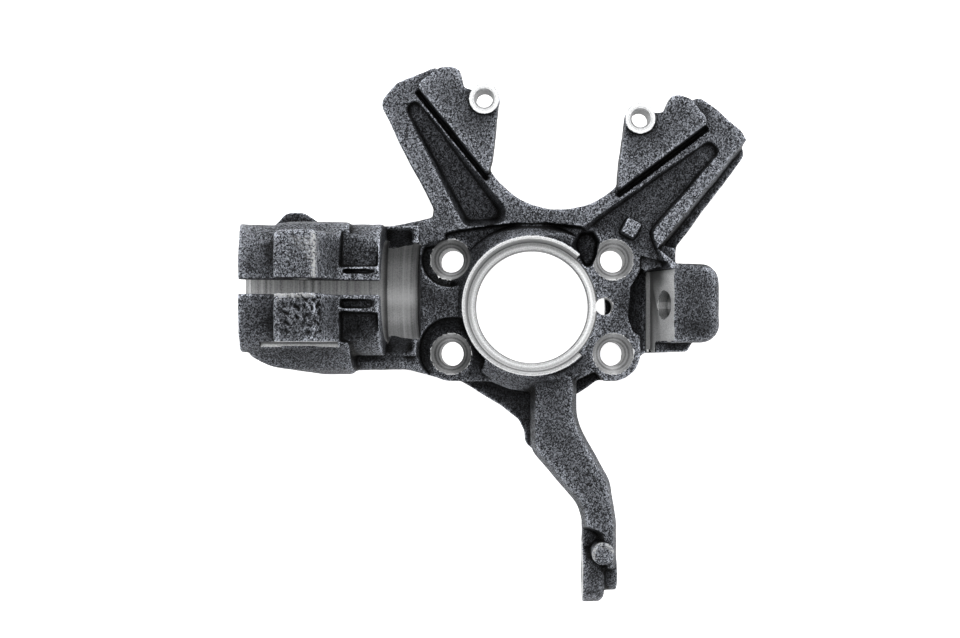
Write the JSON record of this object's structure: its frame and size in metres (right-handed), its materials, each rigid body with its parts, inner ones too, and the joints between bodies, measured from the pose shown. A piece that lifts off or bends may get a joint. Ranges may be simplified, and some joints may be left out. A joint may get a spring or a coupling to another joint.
{
  "type": "steering knuckle",
  "caption": "Cast front steering knuckle that carries the wheel bearing, brake caliper, strut, ball joint and track rod of a car.",
  "frame": {"origin": "hub axis at the outboard face that the wheel bearing unit bolts to", "axes": "+Z inboard along the hub axis, -X up the car towards the strut, +X down towards the ball joint, +Y towards the brake caliper, -Y towards the track rod"},
  "size_m": [0.2909, 0.3087, 0.118],
  "materials": {
    "cast_iron": "sand-cast ductile iron with bright machined seats"
  },
  "bodies": {
    "root": {"steering_knuckle": "cast_iron"}
  },
  "joints": []
}
